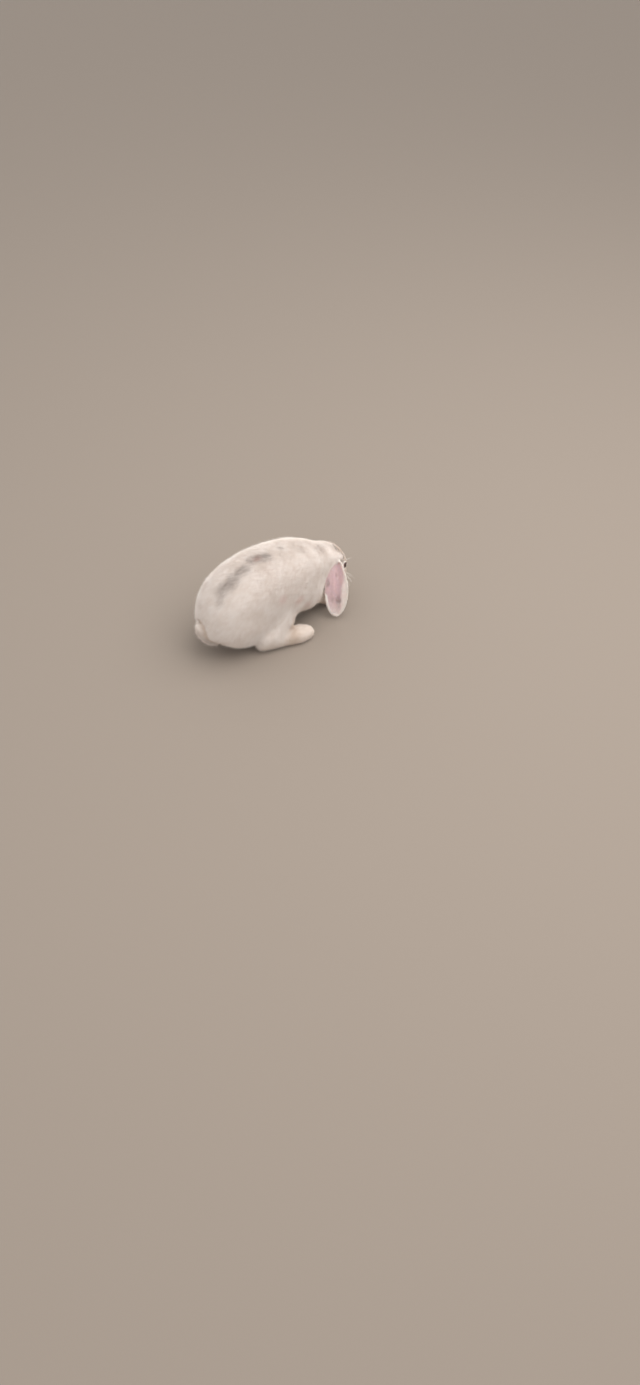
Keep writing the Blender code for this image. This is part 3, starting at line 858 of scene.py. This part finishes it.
place_in_hide = add_node(tree, "ShaderNodeTexCoord").outputs["Object"]
veins = add_node(
    tree,
    "ShaderNodeTexNoise",
    inputs={"Vector": place_in_hide, "Scale": 1 / VEIN_SPACING, "Detail": 3.0, "Roughness": 0.6},
)
pink = layered(
    tree, linear(SKIN_PINK), (veins.outputs["Fac"], linear(SKIN_LILAC)), ("mottle", linear(SKIN_GREY))
)
colour = layered(tree, fur_colour(tree), ("bare", pink), ("rim", linear(SKIN_DARK)))
pores = add_node(
    tree, "ShaderNodeTexNoise", inputs={"Vector": place_in_hide, "Scale": 1 / PORE_SPACING, "Detail": 2.0}
)
bump = add_node(
    tree, "ShaderNodeBump", inputs={"Strength": 0.5, "Distance": PORE_DEPTH, "Height": pores.outputs["Fac"]}
)
hide = add_node(
    tree,
    "ShaderNodeBsdfPrincipled",
    inputs={
        "Base Color": colour,
        "Roughness": 0.62,
        "Subsurface Weight": 0.25,
        "Subsurface Scale": 4 * MM,
        "Subsurface Radius": (1.0, 0.4, 0.3),
        "Normal": bump.outputs["Normal"],
    },
)
add_node(tree, "ShaderNodeOutputMaterial", inputs={"Surface": hide.outputs["BSDF"]})

skin_mesh.vertices.foreach_set("co", skin.ravel())
skin_mesh.update()
skin_mesh.shade_smooth()
skin_mesh.uv_layers.new(name="OFBake").data.foreach_set("uv", skin_flat.ravel())
add_values(skin_mesh, mark=mark, rosy=rosy, tan=tan, shade=shade, bare=bare, rim=rim, mottle=mottle)
skin_piece = add_piece("skin", skin_mesh, rabbit_hide)
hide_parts(*flesh, *ears)

# ---------------------------------------------------------------- Coat
# Soft dense fur, modelled as closed tufts that grow from the skin and lie along it, each
# with its tip at the coat's surface. Each tuft takes its colours from its root.
chance = np.random.default_rng(7)
corner_spots = [skin[skin_faces[:, corner]] for corner in range(3)]
face_cross = np.cross(corner_spots[1] - corner_spots[0], corner_spots[2] - corner_spots[0])
face_number = 0.5 * np.linalg.norm(face_cross, axis=1) * coat_number[skin_faces].mean(1)
face_normal = unit(skin_up[skin_faces].mean(1))
swirl = 0.5 * drift(skin, 14 * MM, 4) + 0.35 * drift(skin, 5 * MM, 5)
body_faces = ~is_ear[skin_faces].any(1)
body_tree = BVHTree.FromPolygons(skin.tolist(), skin_faces[body_faces].tolist())
body_normal = face_normal[body_faces]

# Rabbit fur: fine soft hair with a silky sheen at a glancing look. It is paler at its roots,
# also where the tips are grey.
UNDERCOAT = "#f7eee8"
rabbit_fur, tree = new_finish("rabbit_fur")
tip_colour = fur_colour(tree)
colour = layered(tree, tip_colour, (0.5, linear(UNDERCOAT)), ("along", tip_colour))
fur = add_node(
    tree,
    "ShaderNodeBsdfPrincipled",
    inputs={
        "Base Color": colour,
        "Roughness": 0.75,
        "Specular IOR Level": 0.25,
        "Sheen Weight": 0.15,
        "Sheen Roughness": 0.5,
    },
)
add_node(tree, "ShaderNodeOutputMaterial", inputs={"Surface": fur.outputs["BSDF"]})

SOFTNESS = 2.5  # how much more light falls as on the coat than as on a tuft's own faces
THIN_OUT = 0.97
# Undercoat, coat, fur that stands out, and thin guard hairs that break the outline: where in
# 0 to 1 each but the first starts, and what it makes of a tuft's rise, length and width.
KIND_STARTS = (0.25, 0.80, 0.93)
KIND_RISE = np.array([0.55, 0.92, 1.25, 1.8])
KIND_LENGTH = np.array([0.6, 1.0, 1.0, 1.05])
KIND_WIDTH = np.array([1.5, 1.0, 1.0, 0.6])
HIGHEST_RISE, LOWEST_POINT, ROOT_DEPTH = 9.5, 0.35, 0.4  # millimetres
LOCK_SIZE, LOCK_REACH = 60, 8 * MM  # tufts to a lock, and how far from its middle one bends to it
# A tuft has three corners at its root and one at its tip, and a patch of the flat hide.
TUFT_FACES = np.array([(0, 1, 2), (0, 3, 1), (1, 3, 2), (2, 3, 0)])
TUFT_FLAT = np.array([(-0.87, -0.5), (0.87, -0.5), (0.0, 1.0), (0.0, 0.0)]) * 1.5 * MM
TUFT_ALONG = (0.3, 0.3, 0.3, 1.0)
# Ears are only off the midline and ahead of the shoulders.
EARS_FROM_MIDLINE, EARS_REARMOST = 0.012, -0.06


def grow(name, chosen):
    """One piece of the coat over the chosen faces of the skin."""
    on_ear = name.startswith("coat_ear")
    chosen = np.flatnonzero(chosen & (face_number > 0))
    reach = np.cumsum(face_number[chosen]) * THIN_OUT
    count = int(reach[-1])
    picks = np.searchsorted(reach, (np.arange(count) + chance.random(count)) * reach[-1] / count)
    faces = chosen[np.minimum(picks, len(chosen) - 1)]
    share = chance.random((count, 2))
    share = np.where(share.sum(1, keepdims=True) > 1, 1 - share, share)
    share = np.column_stack([1 - share.sum(1), share])

    def at(values):
        weights = share if values.ndim == 1 else share[:, :, None]
        return (values[skin_faces[faces]] * weights).sum(1)

    up = unit(at(skin_up))
    length = at(coat_length) * chance.uniform(0.75, 1.2, count)
    width = at(coat_width) * chance.uniform(0.7, 1.2, count) / math.sqrt(THIN_OUT)
    kind = np.searchsorted(KIND_STARTS, chance.random(count))
    rise = at(coat_rise) * KIND_RISE[kind] * chance.uniform(0.85, 1.1, count)
    rise = np.minimum(rise, HIGHEST_RISE * MM)
    length *= KIND_LENGTH[kind]
    width *= KIND_WIDTH[kind]
    way = at(lie)
    way = unit(way - up * (way * up).sum(1, keepdims=True))
    turn = at(swirl) * 0.35 + chance.normal(0, 0.14, count)
    way = unit(way + np.cross(up, way) * turn[:, None])
    root = at(skin) - up * ROOT_DEPTH * MM
    forth, lift = way * length[:, None], up * rise[:, None]
    if on_ear:
        tip, tip_up = root + forth + lift, up
    else:
        ahead = root + forth + up * (rise * 0.3)[:, None]
        found = [body_tree.find_nearest(Vector(p)) for p in ahead]
        tip_up = body_normal[[f[2] for f in found]]
        tip = np.array([tuple(f[0]) for f in found]) + tip_up * rise[:, None]
        # Where two parts meet, a tuft is kept from bending over to the other part.
        stray = np.linalg.norm(tip - ahead - up * (rise * 0.7)[:, None], axis=1) / length
        kept = ramp(stray, 0.35, 0.6) * (1 - at(skirt))
        tip += (root + (forth + lift) * 0.8 - tip) * kept[:, None]
    # Hairs gather into soft locks: tips lean towards the tip of the lock's middle tuft.
    middles = np.arange(0, count, LOCK_SIZE)
    locks = tree_of(root[middles])
    lock = middles[[locks.find(Vector(p))[1] for p in root]]
    in_reach = np.linalg.norm(tip[lock] - tip, axis=1) < LOCK_REACH
    gather = np.where(in_reach, chance.uniform(0.0, 0.3, count), 0.0)
    tip += (tip[lock] - tip) * gather[:, None]
    paleness = at(shade) + chance.normal(0, 0.16, count)[lock] + chance.normal(0, 0.22, count)
    # The coat parts round the ears and the eyes: no tuft lies over a hollow or an eye.
    clear = np.ones(count, bool)
    for share_out in (0.3, 0.5, 0.75, 1.0):
        spots = root + (tip - root) * share_out + up * (0.2 * rise)[:, None]
        for side in SIDES:
            out, front, above = (np.array(axis) for axis in eye_axes[side])
            away = spots - np.array(eye_centre[side])
            inside = np.hypot(away @ front / LID_LENGTH, away @ above / LID_HEIGHT) < 0.98
            clear &= ~(inside & (away @ out > 0) & (away @ out < 16 * MM))
        if not on_ear:
            by_ears = (np.abs(spots[:, 0]) > EARS_FROM_MIDLINE) & (spots[:, 1] < EARS_REARMOST)
            for order in np.flatnonzero(clear & by_ears):
                _, index, gap = ear_tree.find(spots[order])
                to_hollow = ear_hollows[index] @ (spots[order] - ear_spots[index])
                parting = 7 * MM * ramp(index % EAR_POINTS // EAR_ACROSS / EAR_ROWS, 0.01, 0.16)
                clear[order] = not (gap < parting and to_hollow > -1.5 * MM)
    root, tip, up, tip_up, width = (v[clear] for v in (root, tip, up, tip_up, width))
    faces, share, paleness, count = faces[clear], share[clear], paleness[clear], clear.sum()
    along = unit(tip - root)
    side = unit(np.cross(along, up))
    half, high = side * (width / 2)[:, None], np.cross(side, along) * (width * 0.32)[:, None]
    tilt = unit(up + chance.normal(0, 0.12, (count, 3)))
    tip_tilt = unit(tip_up + chance.normal(0, 0.12, (count, 3)))
    points = np.stack([root - half, root + half, root + high, tip], 1).reshape(-1, 3)
    points[:, 2] = np.maximum(points[:, 2], LOWEST_POINT * MM)
    lean = np.stack([tilt - side * 0.2, tilt + side * 0.2, tilt, tip_tilt], 1).reshape(-1, 3)
    corners = len(TUFT_FLAT)
    triangles = (np.arange(count)[:, None, None] * corners + TUFT_FACES).reshape(-1, 3)
    mesh = bpy.data.meshes.new(name)
    mesh.vertices.add(len(points))
    mesh.vertices.foreach_set("co", points.ravel())
    mesh.loops.add(triangles.size)
    mesh.loops.foreach_set("vertex_index", triangles.ravel())
    mesh.polygons.add(len(triangles))
    mesh.polygons.foreach_set("loop_start", np.arange(0, triangles.size, 3))
    mesh.update(calc_edges=True)
    mesh.shade_smooth()
    flat_root = (skin_flat[faces] * share[:, :, None]).sum(1)
    flat = (flat_root[:, None] + TUFT_FLAT).reshape(-1, 2)
    mesh.uv_layers.new(name="OFBake").data.foreach_set("uv", flat[triangles.ravel()].ravel())
    greyness = at(mark) + chance.normal(0, 0.16, count) * (at(mark) > 0.08)
    by_tuft = {"mark": greyness, "rosy": at(rosy), "tan": at(tan), "shade": paleness}
    by_corner = {key: np.repeat(np.clip(v, 0, 1), corners) for key, v in by_tuft.items()}
    add_values(mesh, **by_corner, along=np.tile(TUFT_ALONG, count))
    # Light falls on a tuft as on the soft coat round it, but never through from its far side.
    first, second, third = (points[triangles[:, corner]] for corner in range(3))
    own = unit(np.cross(second - first, third - first))[:, None]
    soft = unit(lean)[triangles]
    facing = (own * soft).sum(2, keepdims=True) > 0
    mesh.normals_split_custom_set(unit(own + soft * np.where(facing, SOFTNESS, 0.0)).reshape(-1, 3))
    add_piece(name, mesh, rabbit_fur)


centre_of = skin[skin_faces].mean(1)
face_part = skin_part[skin_faces[:, 0]]


def faces_of(*names):
    """True for the faces of the skin that belong to these parts."""
    return np.isin(face_part, [part_names.index(n) for n in names])


trunk_faces = faces_of("trunk")
back_faces = trunk_faces & (face_normal[:, 2] > 0.5)
belly_faces = trunk_faces & ~back_faces & (face_normal[:, 2] < -0.35)
flank_faces = trunk_faces & ~back_faces & ~belly_faces
grow("coat_back_fore", back_faces & (centre_of[:, 1] < 0.045))
grow("coat_back_rear", back_faces & (centre_of[:, 1] >= 0.045))
for side, way in SIDES.items():
    grow("coat_flank_" + side, flank_faces & (centre_of[:, 0] * way > 0))
    grow("coat_thigh_" + side, faces_of("thigh_" + side))
    grow("coat_foreleg_" + side, faces_of("foreleg_" + side, "forepaw_" + side))
    grow("coat_hind_foot_" + side, faces_of("hind_foot_" + side))
    grow("coat_ear_" + side, faces_of("ear_" + side))
grow("coat_belly", belly_faces)
grow("coat_neck", faces_of("neck"))
muzzle_faces = faces_of("head") & (in_head_cm(centre_of)[:, 0] > 1.2)
grow("coat_muzzle", muzzle_faces)
grow("coat_head", faces_of("head") & ~muzzle_faces)
grow("coat_tail", faces_of("tail"))

# ---------------------------------------------------------------- Eyes
# A round dark eye fills each lid opening. It stands a little proud under a clear wet cornea.
IRIS_REACH, CORNEA_REACH = 46.0, 40.0  # degrees from the middle of the look
CORNEA_BULGE = 0.45 * MM
PUPIL_EDGE, IRIS_EDGE = (0.46, 0.56), (0.97, 1.08)  # where each fades out, to the iris's reach
FLECKS_PER_MM = 0.9
PUPIL_BLACK, IRIS_DARK, IRIS_BROWN, EYE_EDGE = "#060404", "#2a1811", "#4c2f20", "#3a2620"

# Wet eye: a dark brown iris round a black pupil, under one clear film that mirrors the lamp.
wet_eye, tree = new_finish("wet_eye")
place_in_eye = add_node(tree, "ShaderNodeTexCoord").outputs["Object"]
fleck = add_node(
    tree, "ShaderNodeTexNoise", inputs={"Vector": place_in_eye, "Scale": FLECKS_PER_MM / MM, "Detail": 2.0}
)
iris = layered(tree, linear(IRIS_DARK), (fleck.outputs["Fac"], linear(IRIS_BROWN)))
ring = add_node(tree, "ShaderNodeAttribute", {"attribute_name": "ring"}).outputs["Fac"]
past_pupil, past_iris = (
    add_node(tree, "ShaderNodeMapRange", inputs={"Value": ring, "From Min": low, "From Max": high})
    for low, high in (PUPIL_EDGE, IRIS_EDGE)
)
colour = layered(
    tree,
    linear(PUPIL_BLACK),
    (past_pupil.outputs["Result"], iris),
    (past_iris.outputs["Result"], linear(EYE_EDGE)),
)
eye = add_node(
    tree,
    "ShaderNodeBsdfPrincipled",
    inputs={
        "Base Color": colour,
        "Roughness": 0.06,
        "IOR": 1.38,
        "Coat Weight": 1.0,
        "Coat Roughness": 0.02,
    },
)
add_node(tree, "ShaderNodeOutputMaterial", inputs={"Surface": eye.outputs["BSDF"]})

for side in SIDES:
    out, ahead, above = eye_axes[side]
    form = bmesh.new()
    bmesh.ops.create_uvsphere(form, u_segments=48, v_segments=32, radius=EYE_RADIUS)
    rings = []
    for vert in form.verts:
        turn = math.degrees(Vector((0, 0, 1)).angle(vert.co))
        rings.append(turn / IRIS_REACH)
        bulge = CORNEA_BULGE * max(0.0, 1 - (turn / CORNEA_REACH) ** 2)
        spot = vert.co * (1 + bulge / EYE_RADIUS)
        vert.co = eye_centre[side] + ahead * spot.x + above * spot.y + out * spot.z
    bmesh.ops.recalc_face_normals(form, faces=form.faces)
    mesh = bpy.data.meshes.new("eyeball_" + side)
    form.to_mesh(mesh)
    form.free()
    mesh.shade_smooth()
    add_values(mesh, ring=rings)
    eyeball = add_piece("eyeball_" + side, mesh, wet_eye)
    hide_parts("eye_" + side)

# ---------------------------------------------------------------- Whiskers
# Stiff white hairs in four rows on each whisker pad, and a few over each eye. They sweep out,
# back and down, and taper to nothing.
WHISKER_ROOT, WHISKER_TIP = 0.13 * MM, 0.02 * MM
PAD_ROWS = (-0.45, -0.75, -1.05, -1.35)  # centimetres up the face
LOWEST_HAIR = 1.0 * MM

# Whisker: a smooth horny hair, paler and glossier than the coat.
whisker_hair, tree = new_finish("whisker_hair")
hair = add_node(
    tree, "ShaderNodeBsdfPrincipled", inputs={"Base Color": linear("#f4eee6"), "Roughness": 0.35}
)
add_node(tree, "ShaderNodeOutputMaterial", inputs={"Surface": hair.outputs["BSDF"]})


def add_hair(masses, start, way, length, droop, radius):
    """One tapered hair that starts straight and then falls back and down."""
    line, radii = [], []
    for step in range(9):
        share = step / 8
        fall = Vector((0, 0.35, -1.0)) * droop * length * share * share
        spot = start + way * (length * share) + fall
        spot.z = max(spot.z, LOWEST_HAIR)
        line.append(spot)
        radii.append(radius * (1 - share) ** 0.7 + WHISKER_TIP)
    masses.add_tube(line, radii, sides=5)


for side, way in SIDES.items():
    whiskers = Masses()
    for row, up in enumerate(PAD_ROWS):
        for order in range(5):
            start = face_spot((0.75 + 0.20 * order + 0.05 * (row % 2)) * way, up)
            length = (22 + 4 * order + 4 * chance.random()) * MM
            rise = 0.05 - 0.16 * row + 0.08 * chance.random()
            aim = (head_turn @ Vector((0.1 - 0.16 * order, way * 1.0, rise))).normalized()
            add_hair(whiskers, start - aim * MM, aim, length, 0.22, WHISKER_ROOT)
    out, ahead, above = eye_axes[side]
    for order in range(4):
        origin = eye_centre[side] + above * 9.5 * MM + ahead * (order - 1.5) * 2.2 * MM + out * 3 * CM
        aim = (out * 0.5 + above * 0.7 + ahead * (0.2 - 0.15 * order)).normalized()
        add_hair(whiskers, seen_from(origin, -out), aim, (13 + 2 * order) * MM, 0.25, WHISKER_ROOT * 0.75)
    add_piece("whiskers_" + side, whiskers.mesh("whiskers_" + side), whisker_hair)

# ---------------------------------------------------------------- Claws
# Curved claws, one to a toe, half hidden in the fur. Each is a hollow horn over the bone,
# modelled solid.
CLAWS = (
    # middle of the toes' ends, space between toes and how far outer toes stand back, all in
    # centimetres; then step along, rise and fall with each step, and radii in millimetres
    ((17.3, 7.35, 0.75), 0.52, 0.5, 1.6, 0.25, 0.16, (1.1, 1.1, 1.0, 0.8, 0.5, 0.12)),
    ((27.9, 2.5, 0.6), 0.42, 0.4, 1.35, 0.2, 0.17, (0.8, 0.8, 0.75, 0.6, 0.4, 0.1)),
)

# Horn: a pale translucent brown, smooth and a little shiny.
claw_horn, tree = new_finish("claw_horn")
horn = add_node(
    tree, "ShaderNodeBsdfPrincipled", inputs={"Base Color": linear("#b79f8a"), "Roughness": 0.38}
)
add_node(tree, "ShaderNodeOutputMaterial", inputs={"Surface": horn.outputs["BSDF"]})

for side, way in SIDES.items():
    claws = Masses()
    for (forward, left, up), space, set_back, run, rise, fall, radii in CLAWS:
        for offset in (-1.5 * space, -0.5 * space, 0.5 * space, 1.5 * space):
            start = place(forward - set_back * abs(offset), (left + offset) * way, up)
            line = [
                start + Vector((0, -step * run * MM, (rise * step - fall * step * step) * MM))
                for step in range(len(radii))
            ]
            claws.add_tube(line, [radius * MM for radius in radii])
    add_piece("claws_" + side, claws.mesh("claws_" + side), claw_horn)

# ---------------------------------------------------------------- Size
low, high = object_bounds()
